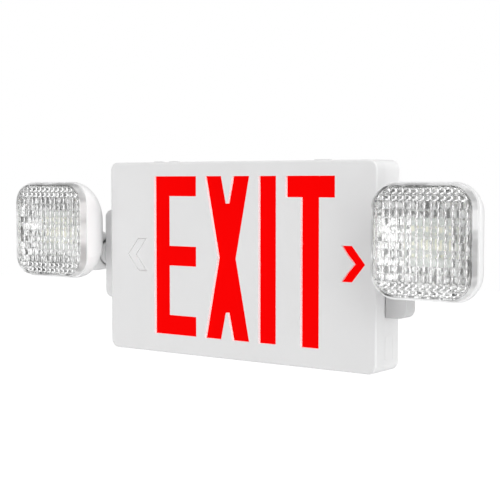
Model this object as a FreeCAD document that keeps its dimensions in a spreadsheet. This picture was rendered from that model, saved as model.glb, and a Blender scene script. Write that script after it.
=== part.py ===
import FreeCAD, Part
import math
import os
import Sketcher
from FreeCAD import Placement, Rotation, Vector

# Wall-mounted emergency exit light with two adjustable lamp heads.
#
# Row frame: origin at the centre of the housing's back face, +X to the right seen from the
# front, -Y towards the viewer, +Z up.  All lengths are millimetres, all angles degrees.
doc = FreeCAD.newDocument("ExitLight")
sheet = doc.addObject("Spreadsheet::Sheet", "Sizes")

# ---------------------------------------------------------------- driving dimensions
DIMENSIONS = [
    # housing
    ("housing_width", 304.8), ("housing_height", 184.0), ("housing_depth", 38.5),
    ("cover_depth", 14.5), ("side_wall", 2.2), ("back_wall", 2.5), ("face_wall", 2.7),
    ("corner_radius", 8.0), ("face_edge_radius", 1.6),
    ("lip_depth", 2.0), ("lip_thickness", 1.0), ("lip_gap", 0.15),
    ("latch_width", 11.0), ("latch_height", 0.9), ("latch_depth", 3.2), ("latch_gap", 8.0),
    ("latch_reach", 90.0),
    # legend openings in the face
    ("legend_height", 152.4), ("legend_stroke", 19.05), ("letter_width", 51.5),
    ("letter_gap", 10.7), ("legend_right", 7.8), ("legend_up", 2.2),
    ("cross_flat", 2.2), ("cross_waist", 20.7),
    # direction chevrons
    ("chevron_rise", 15.8), ("chevron_run", 13.2), ("chevron_stroke", 10.8),
    ("chevron_right_tip", 141.3), ("chevron_left_tip", 129.4), ("knockout_groove", 0.5),
    ("knockout_web", 0.8), ("knockout_nub", 0.9),
    # light box
    ("diffuser_thickness", 2.0), ("diffuser_margin", 4.0),
    ("tray_depth", 12.4), ("tray_wall", 1.2), ("tray_margin", 6.0),
    ("strip_length", 244.0), ("strip_width", 8.0), ("strip_thickness", 1.2),
    ("sign_led_size", 3.4), ("sign_led_height", 1.4), ("sign_led_pitch", 24.0),
    # wall side of the back housing
    ("wire_entry_radius", 11.1), ("box_screw_spacing", 88.9), ("box_screw_radius", 2.4),
    ("keyhole_spacing", 203.2), ("keyhole_up", 58.0), ("keyhole_head_radius", 4.5),
    ("keyhole_slot_radius", 2.3), ("keyhole_drop", 9.0),
    ("knockout_plate_height", 21.0), ("knockout_plate_depth", 13.5),
    ("knockout_plate_down", 70.5), ("knockout_line", 0.3),
    # fixings
    ("post_height", 4.0), ("post_radius", 3.2), ("pilot_radius", 1.25),
    ("screw_radius", 1.2), ("screw_head_radius", 2.6), ("screw_head_height", 1.8),
    ("screw_hole_radius", 1.45), ("fixed_gap", 0.05), ("running_gap", 0.06),
    # electronics
    ("board_width", 96.0), ("board_height", 62.0), ("board_thickness", 1.6),
    ("board_left", 76.0), ("board_inset", 5.0),
    ("transformer_width", 32.0), ("transformer_height", 27.0), ("transformer_depth", 12.4),
    ("transformer_left", 22.0), ("capacitor_right", 7.0), ("capacitor_up", 16.0),
    ("terminal_right", 30.0), ("terminal_down", 6.0), ("sleeve_depth", 5.7),
    ("coil_width", 20.0), ("coil_overhang", 3.0), ("capacitor_radius", 4.0),
    ("capacitor_length", 11.5), ("terminal_pitch", 7.0), ("terminal_depth", 9.5),
    ("terminal_height", 8.0),
    ("cell_radius", 7.1), ("cell_length", 50.0), ("battery_right", 78.0),
    ("battery_up", 20.0), ("strap_width", 9.0), ("strap_thickness", 1.2),
    ("strap_foot", 8.0),
    # test button and indicator in the bottom wall
    ("button_right", 70.0), ("button_radius", 4.0), ("button_proud", 0.7),
    ("button_flange_radius", 5.4), ("button_flange", 1.2), ("button_travel", 1.8),
    ("spring_length", 5.0), ("spring_radius", 3.2), ("spring_wire_radius", 0.3),
    ("switch_width", 13.0), ("switch_height", 7.0), ("plunger_radius", 1.5),
    ("shelf_thickness", 2.0), ("indicator_radius", 2.5), ("indicator_spacing", 16.0),
    # ears
    ("ear_reach", 21.3), ("ear_depth", 15.0), ("ear_height", 88.8), ("ear_radius", 8.0),
    ("ear_wall", 1.8), ("ear_up", 0.5), ("ear_setback", 0.15), ("ear_screw_reach", 33.0),
    ("ear_screw_grip", 10.0), ("shadow_gap", 0.6), ("shadow_gap_depth", 1.4),
    # tilt collar and pan hinge
    ("lead_hole_radius", 5.5), ("collar_radius", 3.0), ("collar_bore", 1.8),
    ("collar_tail", 5.5),
    ("ball_radius", 12.1), ("ball_slice", 3.7), ("slot_floor", 1.5),
    ("fork_gap", 5.0), ("fork_cheek", 2.6), ("fork_radius", 4.0), ("tongue_gap", 0.1),
    ("pin_radius", 1.5), ("pin_out", 6.3), ("nut_width", 9.0), ("nut_thickness", 3.2),
    ("washer_thickness", 0.8), ("washer_radius", 5.4),
    # horn-shaped neck
    ("neck_gap", 3.3), ("neck_wall", 2.0), ("neck_radius", 15.5), ("neck_mouth_up", 1.0),
    ("neck_relief", 0.4),
    ("neck_middle_out", 12.5), ("neck_middle_radius", 21.0), ("neck_middle_forward", 7.6),
    ("neck_middle_up", 3.0), ("neck_root_out", 28.5), ("neck_root_radius", 21.0),
    ("neck_root_forward", 21.0), ("neck_root_up", 11.0), ("bulkhead", 2.5),
    ("bulkhead_out", 14.6), ("lead_pass_radius", 2.5),
    # lamp heads
    ("head_overlap", 11.7), ("head_up", 25.0), ("head_reach", 31.5),
    ("rim_width", 96.0), ("dome_depth", 49.0), ("shell_wall", 2.2),
    ("dome_shift_in", 4.2), ("dome_shift_down", 4.6),
    ("rim_step", 1.3), ("lens_draft", 1.5), ("lens_depth", 7.6),
    ("lens_wall", 2.0), ("lens_front_wall", 2.4), ("lens_skirt", 3.0),
    ("skirt_wall", 1.2), ("snap_gap", 0.25),
    ("flute_valley", 0.8), ("flute_depth", 1.1), ("flute_margin", 9.0),
    ("dish_gap", 0.8), ("dish_back_width", 42.0), ("dish_depth", 15.0),
    ("dish_wall", 1.2), ("dish_back_radius", 6.0),
    ("lamp_board_width", 54.0), ("lamp_led_size", 6.0), ("lamp_led_height", 1.6),
    ("lamp_led_pitch", 12.0), ("lamp_screw_spacing", 48.0), ("lamp_post_radius", 3.2),
    ("lamp_screw_grip", 6.0),
]
for row, (alias, value) in enumerate(DIMENSIONS, start=1):
    sheet.set("A%d" % row, alias.replace("_", " "))
    sheet.set("B%d" % row, "%g" % value)
    sheet.setAlias("B%d" % row, alias)
doc.recompute()


class Size:
    """A length together with the spreadsheet formula that gives it."""

    def __init__(self, value, formula):
        self.value = value
        self.formula = formula

    def joined(self, other, sign, value):
        return Size(value, "(%s %s %s)" % (self.formula, sign, other.formula))

    def __add__(self, other):
        other = sized(other)
        return self.joined(other, "+", self.value + other.value)

    def __sub__(self, other):
        other = sized(other)
        return self.joined(other, "-", self.value - other.value)

    def __mul__(self, other):
        other = sized(other)
        return self.joined(other, "*", self.value * other.value)

    def __truediv__(self, other):
        other = sized(other)
        return self.joined(other, "/", self.value / other.value)

    def __neg__(self):
        return sized(0) - self

    __radd__ = __add__
    __rmul__ = __mul__

    def __rsub__(self, other):
        return sized(other) - self


def sized(number):
    """Give a plain number a formula of its own."""
    if isinstance(number, Size):
        return number
    return Size(float(number), repr(float(number)))


class Sizes:
    """The spreadsheet's cells as attributes, each with its value and formula."""

    def __getattr__(self, alias):
        return Size(float(sheet.get(alias)), "Sizes." + alias)


S = Sizes()
pieces = []


def bind(obj, **lengths):
    """Drive properties of an object from formulas."""
    for name, length in lengths.items():
        obj.setExpression(name.replace("__", "."), sized(length).formula)
    return obj


def place(obj, x, y, z):
    """Drive an object's position from formulas."""
    return bind(obj, Placement__Base__x=x, Placement__Base__y=y, Placement__Base__z=z)


def keep(obj, label):
    """Give a finished sub-part its own name and list it for export."""
    obj.Label = label
    pieces.append(obj)
    return obj


# ---------------------------------------------------------------- solid helpers
TURN = {
    "+Z": (Rotation(), (0, 0, 1)),
    "+X": (Rotation(Vector(0, 1, 0), 90), (1, 0, 0)),
    "+Y": (Rotation(Vector(1, 0, 0), -90), (0, 1, 0)),
    "-Y": (Rotation(Vector(1, 0, 0), 90), (0, -1, 0)),
}


def box(name, x, y, z, dx, dy, dz):
    """A box from its lowest corner x, y, z with edges dx, dy, dz."""
    obj = doc.addObject("Part::Box", name)
    bind(obj, Length=dx, Width=dy, Height=dz)
    return place(obj, x, y, z)


def centred_box(name, x, y, z, dx, dy, dz):
    """A box centred on x, z whose back face stands at y and which grows towards -Y."""
    return box(name, x - sized(dx) / 2, y - sized(dy), z - sized(dz) / 2, dx, dy, dz)


def cylinder(name, axis, x, y, z, radius, length):
    """A round bar that starts at x, y, z and runs along the named axis."""
    obj = doc.addObject("Part::Cylinder", name)
    obj.Placement = Placement(Vector(), TURN[axis][0])
    bind(obj, Radius=radius, Height=length)
    return place(obj, x, y, z)


def fuse(name, shapes):
    obj = doc.addObject("Part::MultiFuse", name)
    obj.Shapes = shapes
    return obj


def cut(name, base, tools):
    """Take one or more tools away from a base."""
    obj = doc.addObject("Part::Cut", name)
    obj.Base = base
    obj.Tool = tools[0] if len(tools) == 1 else fuse(name + "_tools", tools)
    return obj


def group(name, shapes):
    """Like pieces that share one node, each a solid of its own."""
    obj = doc.addObject("Part::Compound", name)
    obj.Links = shapes
    return obj


def both_sides(label, shape):
    """Keep a piece of the right side and its mirror image on the left."""
    keep(shape, "right_" + label)
    twin = doc.addObject("Part::Mirroring", "left_" + label)
    twin.Source = shape
    twin.Normal = Vector(1, 0, 0)
    keep(twin, "left_" + label)


def screw(name, axis, x, y, z, length):
    """A pan-head screw: shank along +axis from the seat, head on the other side."""
    back = [S.screw_head_height * -component for component in TURN[axis][1]]
    shank = cylinder(name + "_shank", axis, x, y, z, S.screw_radius, length)
    head = cylinder(name + "_head", axis, x + back[0], y + back[1], z + back[2],
                    S.screw_head_radius, S.screw_head_height)
    return fuse(name, [shank, head])


# ---------------------------------------------------------------- sketch helpers
def new_body(name):
    return doc.addObject("PartDesign::Body", name)


def sketch_on(body, name, role, offset=0):
    """A sketch on one of the body's own origin planes, moved along its normal."""
    sketch = body.newObject("Sketcher::SketchObject", name)
    plane = [item for item in body.Origin.OriginFeatures if item.Role == role][0]
    sketch.AttachmentSupport = [(plane, "")]
    sketch.MapMode = "FlatFace"
    bind(sketch, AttachmentOffset__Base__z=offset)
    return sketch


def pin_point(sketch, line, end, across, up):
    """Fix one end of a sketch line at a driven place."""
    for kind, length in (("DistanceX", across), ("DistanceY", up)):
        number = sketch.addConstraint(
            Sketcher.Constraint(kind, -1, 1, line, end, sized(length).value))
        sketch.setExpression("Constraints[%d]" % number, sized(length).formula)


def polygon(sketch, points):
    """A closed outline of straight lines through driven points."""
    first = sketch.GeometryCount
    count = len(points)
    places = [Vector(sized(across).value, sized(up).value, 0) for across, up in points]
    for i in range(count):
        sketch.addGeometry(Part.LineSegment(places[i], places[(i + 1) % count]), False)
    for i in range(count):
        sketch.addConstraint(
            Sketcher.Constraint("Coincident", first + i, 2, first + (i + 1) % count, 1))
        pin_point(sketch, first + i, 1, *points[i])


def circle(sketch, across, up, radius):
    centre = Vector(sized(across).value, sized(up).value, 0)
    line = sketch.addGeometry(Part.Circle(centre, Vector(0, 0, 1), sized(radius).value), False)
    pin_point(sketch, line, 3, across, up)
    number = sketch.addConstraint(Sketcher.Constraint("Radius", line, sized(radius).value))
    sketch.setExpression("Constraints[%d]" % number, sized(radius).formula)


def rounded_rectangle(sketch, across, up, width, height, radius):
    """Four arcs with driven centres and one driven radius, joined by tangent lines."""
    first = sketch.GeometryCount
    reach_x = sized(width) / 2 - radius
    reach_z = sized(height) / 2 - radius
    r = sized(radius).value
    corners = [(1, 1, 0), (-1, 1, 90), (-1, -1, 180), (1, -1, 270)]
    ends = []
    for side_x, side_z, start in corners:
        centre = Vector(sized(across + reach_x * side_x).value,
                        sized(up + reach_z * side_z).value, 0)
        arc = Part.ArcOfCircle(Part.Circle(centre, Vector(0, 0, 1), r),
                               math.radians(start), math.radians(start + 90))
        sketch.addGeometry(arc, False)
        ends.append((arc.StartPoint, arc.EndPoint))
    for i in range(4):
        sketch.addGeometry(Part.LineSegment(ends[i][1], ends[(i + 1) % 4][0]), False)
    for i, (side_x, side_z, start) in enumerate(corners):
        pin_point(sketch, first + i, 3, across + reach_x * side_x, up + reach_z * side_z)
        sketch.addConstraint(Sketcher.Constraint("Tangent", first + i, 2, first + 4 + i, 1))
        sketch.addConstraint(
            Sketcher.Constraint("Tangent", first + 4 + i, 2, first + (i + 1) % 4, 1))
        if i:
            sketch.addConstraint(Sketcher.Constraint("Equal", first, first + i))
    number = sketch.addConstraint(Sketcher.Constraint("Radius", first, r))
    sketch.setExpression("Constraints[%d]" % number, sized(radius).formula)


def pad(body, sketch, length, reverse=False):
    feature = body.newObject("PartDesign::Pad", sketch.Name + "_pad")
    feature.Profile = sketch
    feature.Reversed = reverse
    return bind(feature, Length=length)


def pocket(body, sketch, depth=None, reverse=False):
    """Cut a sketch into the body, to a driven depth or right through."""
    feature = body.newObject("PartDesign::Pocket", sketch.Name + "_pocket")
    feature.Profile = sketch
    feature.Reversed = reverse
    if depth is None:
        feature.Type = "ThroughAll"
        return feature
    return bind(feature, Length=depth)


def loft(body, sketches, kind="PartDesign::AdditiveLoft"):
    feature = body.newObject(kind, sketches[0].Name + "_loft")
    feature.Profile = sketches[0]
    feature.Sections = sketches[1:]
    return feature


def edges_of(feature, test):
    """Names of the edges whose midpoint and ends pass a test."""
    names = []
    for number, edge in enumerate(feature.Shape.Edges, start=1):
        points = [edge.valueAt(edge.FirstParameter), edge.valueAt(edge.LastParameter),
                  edge.valueAt((edge.FirstParameter + edge.LastParameter) / 2)]
        if all(test(point) for point in points):
            names.append("Edge%d" % number)
    return names


def fillet(body, feature, radius, test):
    doc.recompute()
    rounded = body.newObject("PartDesign::Fillet", feature.Name + "_fillet")
    rounded.Base = (feature, edges_of(feature, test))
    return bind(rounded, Radius=radius)


# ---------------------------------------------------------------- places worked out once
HALF_WIDTH = S.housing_width / 2
HALF_HEIGHT = S.housing_height / 2
BASE_DEPTH = S.housing_depth - S.cover_depth
EAR_FRONT = -(BASE_DEPTH - S.ear_setback)
EAR_MIDDLE = EAR_FRONT + S.ear_depth / 2
EAR_SIDE = HALF_WIDTH + S.ear_reach
DIFFUSER_FRONT = -(S.housing_depth - S.face_wall)
TRAY_FRONT = DIFFUSER_FRONT + S.diffuser_thickness
TRAY_BACK = TRAY_FRONT + S.tray_depth
INNER_WIDTH = S.housing_width - S.side_wall * 2
INNER_HEIGHT = S.housing_height - S.side_wall * 2
TRAY_WIDTH = INNER_WIDTH - S.tray_margin * 2
TRAY_HEIGHT = INNER_HEIGHT - S.tray_margin * 2
LENS_FRONT = -(S.housing_depth + S.head_reach)
RIM_PLANE = LENS_FRONT + S.lens_depth
PIVOT_Z = S.ear_up
PIN_X = EAR_SIDE + S.pin_out
HEAD_X = EAR_SIDE + S.rim_width / 2 - S.head_overlap
RIM_CORNER = 0.448
RIM_RADIUS = S.rim_width / 2 * RIM_CORNER
BUTTON_Y = -(BASE_DEPTH / 2)
# the lip runs inside the whole wall of the back housing
LIP_OUT = S.side_wall + S.lip_gap
BASE_WALL = LIP_OUT + S.lip_thickness
FLOOR = -(HALF_HEIGHT - BASE_WALL)


# ---------------------------------------------------------------- face cover
def letter_bars(left, bottom):
    """E: one stem with three arms, as a single outline."""
    top = bottom + S.legend_height
    right = left + S.letter_width
    stem = left + S.legend_stroke
    middle = bottom + S.legend_height / 2
    half = S.legend_stroke / 2
    return [(left, bottom), (right, bottom), (right, bottom + S.legend_stroke),
            (stem, bottom + S.legend_stroke), (stem, middle - half), (right, middle - half),
            (right, middle + half), (stem, middle + half), (stem, top - S.legend_stroke),
            (right, top - S.legend_stroke), (right, top), (left, top)]


def letter_cross(left, bottom):
    """X: two diagonals that meet in a waist with small flats above and below it."""
    top = bottom + S.legend_height
    right = left + S.letter_width
    middle = bottom + S.legend_height / 2
    centre = left + S.letter_width / 2
    waist = S.cross_waist / 2
    flat = S.cross_flat / 2
    notch = S.legend_height / 3
    return [(left, bottom), (left + S.legend_stroke, bottom), (centre - flat, middle - notch),
            (centre + flat, middle - notch), (right - S.legend_stroke, bottom),
            (right, bottom), (centre + waist, middle), (right, top),
            (right - S.legend_stroke, top), (centre + flat, middle + notch),
            (centre - flat, middle + notch), (left + S.legend_stroke, top), (left, top),
            (centre - waist, middle)]


def letter_stem(left, bottom):
    """I: one upright bar."""
    top = bottom + S.legend_height
    right = left + S.legend_stroke
    return [(left, bottom), (right, bottom), (right, top), (left, top)]


def letter_tee(left, bottom):
    """T: a top bar on an upright."""
    top = bottom + S.legend_height
    right = left + S.letter_width
    stem_left = left + (S.letter_width - S.legend_stroke) / 2
    stem_right = stem_left + S.legend_stroke
    bar = top - S.legend_stroke
    return [(stem_left, bottom), (stem_right, bottom), (stem_right, bar), (right, bar),
            (right, top), (left, top), (left, bar), (stem_left, bar)]


def chevron(tip, side, inset=0, nub=0):
    """An arrow head pointing to its side; nub is what a broken tab leaves."""
    inset = sized(inset)
    middle = S.legend_up
    # a sloping edge moves 1.3 times as far sideways as square to itself
    tip = tip - inset * 1.3 * side
    rise = S.chevron_rise - inset
    run = S.chevron_run * rise / S.chevron_rise * side
    stroke = (S.chevron_stroke - inset * 2.6) * side
    upper = [(tip - run, middle + rise), (tip - run - stroke, middle + rise)]
    if nub:
        join = tip - run * 0.45 - stroke
        upper += [(join - nub * side, middle + rise * 0.45), (join, middle + rise * 0.4)]
    lower = [(across, middle * 2 - up) for across, up in reversed(upper)]
    return [(tip, middle)] + upper + [(tip - stroke, middle)] + lower


def face_cover():
    """Moulded front tray: stencil openings, one open chevron, one outlined knock-out."""
    body = new_body("face_cover_body")
    outer = sketch_on(body, "cover_outline", "XZ_Plane", BASE_DEPTH)
    rounded_rectangle(outer, sized(0), sized(0), S.housing_width, S.housing_height,
                      S.corner_radius)
    solid = pad(body, outer, S.cover_depth)
    front = -S.housing_depth.value
    fillet(body, solid, S.face_edge_radius, lambda point: abs(point.y - front) < 0.01)

    inner = sketch_on(body, "cover_cavity", "XZ_Plane", S.housing_depth - S.face_wall)
    rounded_rectangle(inner, sized(0), sized(0), INNER_WIDTH, INNER_HEIGHT,
                      S.corner_radius - S.side_wall)
    pocket(body, inner, S.cover_depth)

    openings = sketch_on(body, "legend_openings", "XZ_Plane", S.housing_depth)
    bottom = S.legend_up - S.legend_height / 2
    total = S.letter_width * 3 + S.legend_stroke + S.letter_gap * 3
    left = S.legend_right - total / 2
    for letter, width in ((letter_bars, S.letter_width), (letter_cross, S.letter_width),
                          (letter_stem, S.legend_stroke), (letter_tee, S.letter_width)):
        polygon(openings, letter(left, bottom))
        left = left + width + S.letter_gap
    polygon(openings, chevron(S.chevron_right_tip, 1, nub=S.knockout_nub))
    pocket(body, openings, S.face_wall * 2)

    groove = sketch_on(body, "knockout_groove", "XZ_Plane", S.housing_depth)
    polygon(groove, chevron(-S.chevron_left_tip, -1))
    polygon(groove, chevron(-S.chevron_left_tip, -1, inset=S.knockout_groove))
    pocket(body, groove, S.face_wall - S.knockout_web)
    return body


def latch_bumps():
    """Raised snap pads on the cover's top and bottom walls, just in front of the seam."""
    bumps = []
    spots = [(-1, 1, (-1, 1)), (-1, -1, (-1, 1)), (1, 1, (0,)), (1, -1, (0,))]
    for side, edge, offsets in spots:
        for offset in offsets:
            width = S.latch_width if offset else S.latch_width * 1.5
            x = S.latch_reach * side + (S.latch_width + S.latch_gap) / 2 * offset
            # a pad starts inside the wall so that it joins it
            inside = HALF_HEIGHT - S.side_wall / 2
            z = inside if edge > 0 else -(inside + S.side_wall / 2 + S.latch_height)
            bumps.append(box("latch_bump", x - width / 2, -(BASE_DEPTH + S.latch_depth), z,
                             width, S.latch_depth, S.side_wall / 2 + S.latch_height))
    return bumps


keep(fuse("face_cover", [face_cover()] + latch_bumps()), "face_cover")


# ---------------------------------------------------------------- back housing
def back_housing():
    """Moulded rear tray with its lip, wire entries, keyholes, posts and side knock-outs."""
    body = new_body("back_housing_body")
    outer = sketch_on(body, "base_outline", "XZ_Plane")
    rounded_rectangle(outer, sized(0), sized(0), S.housing_width, S.housing_height,
                      S.corner_radius)
    pad(body, outer, BASE_DEPTH)
    lip = sketch_on(body, "base_lip", "XZ_Plane", S.back_wall)
    rounded_rectangle(lip, sized(0), sized(0), S.housing_width - LIP_OUT * 2,
                      S.housing_height - LIP_OUT * 2, S.corner_radius - LIP_OUT)
    pad(body, lip, BASE_DEPTH - S.back_wall + S.lip_depth)
    inner = sketch_on(body, "base_cavity", "XZ_Plane", BASE_DEPTH + S.lip_depth)
    rounded_rectangle(inner, sized(0), sized(0), S.housing_width - BASE_WALL * 2,
                      S.housing_height - BASE_WALL * 2, S.corner_radius - BASE_WALL)
    pocket(body, inner, BASE_DEPTH + S.lip_depth - S.back_wall)

    holes = sketch_on(body, "wall_holes", "XZ_Plane", S.back_wall)
    circle(holes, sized(0), sized(0), S.wire_entry_radius)
    for side in (-1, 1):
        circle(holes, sized(0), S.box_screw_spacing / 2 * side, S.box_screw_radius)
    pocket(body, holes)
    return body


def keyhole(side):
    """Round entry for a wall screw's head with a narrow slot above it."""
    x = S.keyhole_spacing / 2 * side
    reach = S.back_wall * 3
    entry = cylinder("keyhole_entry", "-Y", x, S.back_wall, S.keyhole_up,
                     S.keyhole_head_radius, reach)
    slot = box("keyhole_slot", x - S.keyhole_slot_radius, S.back_wall - reach, S.keyhole_up,
               S.keyhole_slot_radius * 2, reach, S.keyhole_drop)
    end = cylinder("keyhole_end", "-Y", x, S.back_wall, S.keyhole_up + S.keyhole_drop,
                   S.keyhole_slot_radius, reach)
    return [entry, slot, end]


def side_openings(side):
    """Lead hole and two screw holes to the ear, and the outlined knock-out below it."""
    reach = BASE_WALL * 3
    start = HALF_WIDTH - BASE_WALL * 2 if side > 0 else -HALF_WIDTH - BASE_WALL
    tools = [cylinder("lead_hole", "+X", start, EAR_MIDDLE, PIVOT_Z, S.lead_hole_radius,
                      reach)]
    for end in (-1, 1):
        tools.append(cylinder("ear_screw_hole", "+X", start, EAR_MIDDLE,
                              PIVOT_Z + S.ear_screw_reach * end, S.screw_hole_radius, reach))
    x = HALF_WIDTH - S.knockout_line if side > 0 else -HALF_WIDTH - S.side_wall
    thickness = S.side_wall + S.knockout_line
    low = -S.knockout_plate_down - S.knockout_plate_height / 2
    y = EAR_MIDDLE - S.knockout_plate_depth / 2
    outline = box("plate_outline", x, y, low, thickness, S.knockout_plate_depth,
                  S.knockout_plate_height)
    plate = box("plate_inside", x, y + S.knockout_line, low + S.knockout_line, thickness,
                S.knockout_plate_depth - S.knockout_line * 2,
                S.knockout_plate_height - S.knockout_line * 2)
    tools.append(cut("plate_line", outline, [plate]))
    return tools


def board_post_places():
    """Centres of the charger board's four screws."""
    reach_x = S.board_width / 2 - S.board_inset
    reach_z = S.board_height / 2 - S.board_inset
    return [(-S.board_left + reach_x * side, reach_z * end)
            for side in (-1, 1) for end in (-1, 1)]


def strap_screw_places():
    """Centres of the two screws that hold the battery strap."""
    reach = S.cell_radius * 3 + S.strap_thickness + S.strap_foot / 2
    return [(S.battery_right + reach * side, S.battery_up) for side in (-1, 1)]


def post(x, z):
    """A screw post on the back wall, with its pilot hole."""
    y = -S.back_wall + S.back_wall / 2
    solid = cylinder("post", "-Y", x, y, z, S.post_radius, S.post_height + S.back_wall / 2)
    pilot = cylinder("post_pilot", "-Y", x, -S.back_wall, z, S.pilot_radius,
                     S.post_height * 2)
    return cut("post_drilled", solid, [pilot])


SHELF_Z = FLOOR + S.button_flange + S.spring_length + S.switch_height
shelf = box("switch_shelf", S.button_right - S.switch_width / 2, BUTTON_Y - S.switch_width / 2,
            SHELF_Z, S.switch_width, -BUTTON_Y + S.switch_width / 2 - S.back_wall / 2,
            S.shelf_thickness)
posts = [post(x, z) for x, z in board_post_places() + strap_screw_places()]
housing_cuts = keyhole(-1) + keyhole(1) + side_openings(-1) + side_openings(1)
for name, across, radius in (("button_bore", 0, S.button_radius + S.running_gap),
                             ("indicator_bore", S.indicator_spacing, S.indicator_radius)):
    housing_cuts.append(cylinder(name, "+Z", S.button_right + across, BUTTON_Y,
                                 -HALF_HEIGHT - BASE_WALL, radius, BASE_WALL * 3))
housing_shell = cut("housing_shell", back_housing(), housing_cuts)
keep(fuse("back_housing", [housing_shell, shelf] + posts), "back_housing")


# ---------------------------------------------------------------- light box
keep(centred_box("red_diffuser", 0, TRAY_FRONT, 0, INNER_WIDTH - S.diffuser_margin,
                 S.diffuser_thickness, INNER_HEIGHT - S.diffuser_margin), "red_diffuser")


def light_tray():
    """White tray behind the diffuser that spreads the light of the two LED strips."""
    body = new_body("light_tray_body")
    outer = sketch_on(body, "tray_outline", "XZ_Plane", -TRAY_BACK)
    rounded_rectangle(outer, sized(0), sized(0), TRAY_WIDTH, TRAY_HEIGHT, S.corner_radius / 2)
    pad(body, outer, S.tray_depth)
    inner = sketch_on(body, "tray_cavity", "XZ_Plane", -TRAY_FRONT)
    rounded_rectangle(inner, sized(0), sized(0), TRAY_WIDTH - S.tray_wall * 2,
                      TRAY_HEIGHT - S.tray_wall * 2, S.corner_radius / 2 - S.tray_wall)
    pocket(body, inner, S.tray_depth - S.tray_wall)
    return body


keep(light_tray(), "light_tray")

strip_edge = TRAY_HEIGHT / 2 - S.tray_wall
strip_y = TRAY_BACK - S.tray_wall
for end, name in ((1, "top"), (-1, "bottom")):
    low = strip_edge - S.strip_thickness if end > 0 else -strip_edge
    strip = box("led_strip", -S.strip_length / 2, strip_y - S.strip_width, low,
                S.strip_length, S.strip_width, S.strip_thickness)
    keep(strip, "led_strip_" + name)

led_count = 10
sign_leds = []
for end in (1, -1):
    inner_face = strip_edge - S.strip_thickness
    low = inner_face - S.sign_led_height if end > 0 else -inner_face
    for number in range(led_count):
        x = S.sign_led_pitch * (number - (led_count - 1) / 2) - S.sign_led_size / 2
        y = strip_y - S.strip_width / 2 - S.sign_led_size / 2
        sign_leds.append(box("sign_led", x, y, low, S.sign_led_size, S.sign_led_size,
                             S.sign_led_height))
keep(group("sign_leds", sign_leds), "sign_leds")

# ---------------------------------------------------------------- electronics
BOARD_BACK = -(S.back_wall + S.post_height)
BOARD_FRONT = BOARD_BACK - S.board_thickness
board = centred_box("board_blank", -S.board_left, BOARD_BACK, 0, S.board_width,
                    S.board_thickness, S.board_height)
board_holes = [cylinder("board_hole", "+Y", x, BOARD_FRONT - 1, z, S.screw_hole_radius,
                        S.board_thickness + 2) for x, z in board_post_places()]
keep(cut("charger_board", board, board_holes), "charger_board")
keep(group("board_screws", [screw("board_screw", "+Y", x, BOARD_FRONT, z,
                                  S.board_thickness + S.post_height)
                            for x, z in board_post_places()]), "board_screws")

core = centred_box("core", -S.board_left - S.transformer_left, BOARD_FRONT, 0, S.transformer_width,
                   S.transformer_depth - 2, S.transformer_height)
coil = centred_box("coil", -S.board_left - S.transformer_left, BOARD_FRONT, 0, S.coil_width,
                   S.transformer_depth, S.transformer_height + S.coil_overhang * 2)
keep(fuse("transformer", [core, coil]), "transformer")
keep(group("capacitors", [
    cylinder("capacitor", "-Y", -S.board_left + S.capacitor_right * across, BOARD_FRONT,
             S.capacitor_up * up, S.capacitor_radius, S.capacitor_length)
    for across, up in ((0, 1), (2, 1), (0, -1))]), "capacitors")

ways = 3
terminal_x = -S.board_left + S.terminal_right - S.terminal_pitch
terminal = centred_box("terminal_body", terminal_x, BOARD_FRONT, -S.terminal_down,
                       S.terminal_pitch * ways, S.terminal_depth, S.terminal_height)
clamps = [cylinder("terminal_well", "+Y", terminal_x + S.terminal_pitch * way,
                   BOARD_FRONT - S.terminal_depth, -S.terminal_down, S.terminal_pitch * 0.3,
                   S.terminal_depth * 0.5) for way in (-1, 0, 1)]
keep(cut("terminal_block", terminal, clamps), "terminal_block")

# three cells side by side in one shrink sleeve
cells = [cylinder("cell", "+Z", S.battery_right + S.cell_radius * 1.96 * number,
                  -S.back_wall - S.cell_radius, S.battery_up - S.cell_length / 2,
                  S.cell_radius, S.cell_length) for number in (-1, 0, 1)]
sleeve = centred_box("sleeve", S.battery_right, -S.back_wall - S.cell_radius * 0.6,
                     S.battery_up, S.cell_radius * 4, S.cell_radius * 0.8,
                     S.cell_length)
keep(fuse("battery_pack", cells + [sleeve]), "battery_pack")

strap_front = -S.back_wall - S.cell_radius * 2 - S.fixed_gap
strap_half = S.cell_radius * 3 + S.strap_thickness
foot_y = BOARD_BACK
bridge = centred_box("strap_bridge", S.battery_right, strap_front, S.battery_up,
                     strap_half * 2, S.strap_thickness, S.strap_width)
strap_parts = [bridge]
for side in (-1, 1):
    leg_x = S.battery_right + (strap_half - S.strap_thickness / 2) * side
    strap_parts.append(centred_box("strap_leg", leg_x, foot_y, S.battery_up,
                                   S.strap_thickness, foot_y - strap_front
                                   + S.strap_thickness, S.strap_width))
    foot_x = S.battery_right + (strap_half + S.strap_foot / 2) * side
    strap_parts.append(centred_box("strap_foot", foot_x, foot_y, S.battery_up,
                                   S.strap_foot, S.strap_thickness, S.strap_width))
strap_holes = [cylinder("strap_hole", "+Y", x, foot_y - S.strap_thickness * 2, z,
                        S.screw_hole_radius, S.strap_thickness * 3)
               for x, z in strap_screw_places()]
keep(cut("battery_strap", fuse("strap_blank", strap_parts), strap_holes), "battery_strap")
keep(group("strap_screws", [screw("strap_screw", "+Y", x, foot_y - S.strap_thickness, z,
                                  S.strap_thickness + S.post_height)
                            for x, z in strap_screw_places()]), "strap_screws")

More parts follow.
